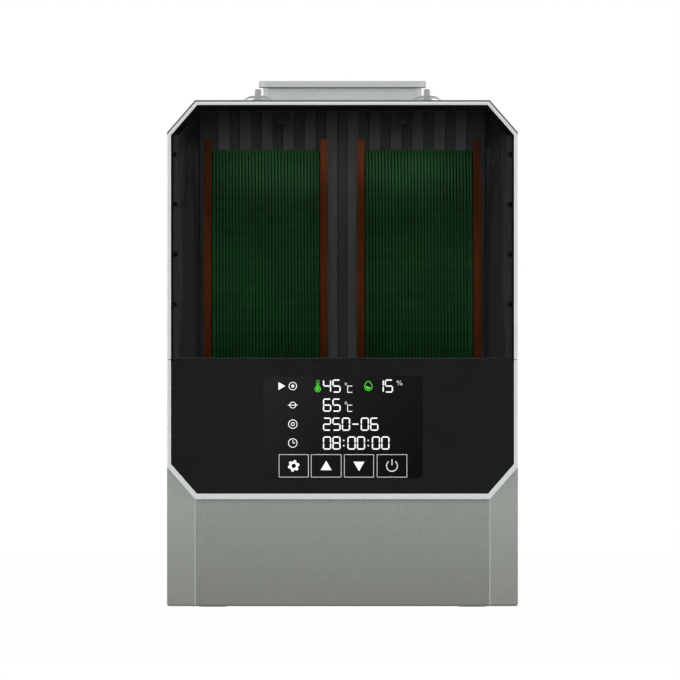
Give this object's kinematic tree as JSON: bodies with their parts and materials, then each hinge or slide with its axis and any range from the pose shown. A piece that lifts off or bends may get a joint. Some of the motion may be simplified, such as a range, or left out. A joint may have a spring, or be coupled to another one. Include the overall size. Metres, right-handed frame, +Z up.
{
  "type": "filament dryer box",
  "caption": "Heated box that dries spools of printer filament: hinged lid with a tinted window, touch display, spools on rollers, vent and filament outlets on top.",
  "frame": {"origin": "middle of the box on the surface that it stands on", "axes": "+Z up, +Y to the rear hinges, the display faces -Y, +X to the right as seen from the front"},
  "size_m": [0.212, 0.289, 0.3188],
  "materials": {
    "shell": "satin",
    "frame": "satin",
    "panel": "gloss",
    "pane": "gloss",
    "lens": "gloss",
    "board": "satin",
    "inner": "matte",
    "rubber": "matte",
    "steel": "satin",
    "heater": "satin",
    "card": "matte",
    "filament": "satin",
    "vent": "satin",
    "plug": "satin",
    "roller": "satin"
  },
  "bodies": {
    "base": {"base_housing": "shell", "bottom_plate": "inner", "rubber_feet": "rubber", "bottom_screws": "steel", "lower_front_frame": "frame", "control_panel": "panel", "display_lens": "lens", "display_module": "inner", "control_board": "board", "chamber_tray": "inner", "left_roller_cradle": "inner", "right_roller_cradle": "inner", "roller_bearings": "steel", "air_duct": "inner", "heater_core": "heater", "fan_frame": "inner", "fan_screws": "steel", "power_board": "board", "power_inlet": "inner", "inlet_pins": "steel", "humidity_sensor": "inner", "base_seal": "rubber", "hinge_base_leaves": "steel", "hinge_base_screws": "steel", "hinge_pins": "steel"},
    "lid": {"lid_shell": "shell", "upper_front_frame": "frame", "window": "pane", "window_clips": "inner", "left_side_liner": "inner", "right_side_liner": "inner", "rear_liner": "inner", "hinge_lid_leaves": "steel", "hinge_lid_screws": "steel", "vent_collar": "vent", "outlet_grommets": "rubber"},
    "vent_cap": {"vent_cap": "vent"},
    "fan_rotor": {"fan_rotor": "inner"},
    "left_outlet_plug": {"left_outlet_plug": "plug"},
    "left_spool": {"left_spool_flanges": "card", "left_spool_core": "card", "left_filament_core": "filament", "left_filament_turns": "filament"},
    "left_front_roller": {"left_front_shaft": "steel", "left_front_rollers": "roller"},
    "left_rear_roller": {"left_rear_shaft": "steel", "left_rear_rollers": "roller"},
    "right_outlet_plug": {"right_outlet_plug": "plug"},
    "right_spool": {"right_spool_flanges": "card", "right_spool_core": "card", "right_filament_core": "filament", "right_filament_turns": "filament"},
    "right_front_roller": {"right_front_shaft": "steel", "right_front_rollers": "roller"},
    "right_rear_roller": {"right_rear_shaft": "steel", "right_rear_rollers": "roller"}
  },
  "joints": [
    {"name": "lid_hinge", "type": "hinge", "parent": "base", "child": "lid", "pos_m": [0, 0.1412, 0.1492], "axis": [-1, 0, 0], "range_deg": [0, 100]},
    {"name": "vent_slide", "type": "slide", "parent": "lid", "child": "vent_cap", "axis": [0, 0, 1], "range_m": [0, 0.008]},
    {"name": "fan_spin", "type": "hinge", "parent": "base", "child": "fan_rotor", "pos_m": [0, 0.035, 0.03], "axis": [0, 0, 1], "continuous": true},
    {"name": "left_plug_slide", "type": "slide", "parent": "lid", "child": "left_outlet_plug", "axis": [0, 0, 1], "range_m": [0, 0.022]},
    {"name": "left_spool_spin", "type": "hinge", "parent": "base", "child": "left_spool", "pos_m": [-0.0464, 0.01, 0.1837], "axis": [1, 0, 0], "continuous": true},
    {"name": "left_front_roller_spin", "type": "hinge", "parent": "base", "child": "left_front_roller", "pos_m": [-0.0464, -0.05269, 0.09417], "axis": [1, 0, 0], "continuous": true},
    {"name": "left_rear_roller_spin", "type": "hinge", "parent": "base", "child": "left_rear_roller", "pos_m": [-0.0464, 0.07269, 0.09417], "axis": [1, 0, 0], "continuous": true},
    {"name": "right_plug_slide", "type": "slide", "parent": "lid", "child": "right_outlet_plug", "axis": [0, 0, 1], "range_m": [0, 0.022]},
    {"name": "right_spool_spin", "type": "hinge", "parent": "base", "child": "right_spool", "pos_m": [0.0464, 0.01, 0.1837], "axis": [1, 0, 0], "continuous": true},
    {"name": "right_front_roller_spin", "type": "hinge", "parent": "base", "child": "right_front_roller", "pos_m": [0.0464, -0.05269, 0.09417], "axis": [1, 0, 0], "continuous": true},
    {"name": "right_rear_roller_spin", "type": "hinge", "parent": "base", "child": "right_rear_roller", "pos_m": [0.0464, 0.07269, 0.09417], "axis": [1, 0, 0], "continuous": true}
  ],
  "couplings": [
    {"joint": "left_front_roller_spin", "follows": "left_spool_spin", "ratio": -11.111},
    {"joint": "left_rear_roller_spin", "follows": "left_spool_spin", "ratio": -11.111},
    {"joint": "right_front_roller_spin", "follows": "right_spool_spin", "ratio": -11.111},
    {"joint": "right_rear_roller_spin", "follows": "right_spool_spin", "ratio": -11.111}
  ]
}
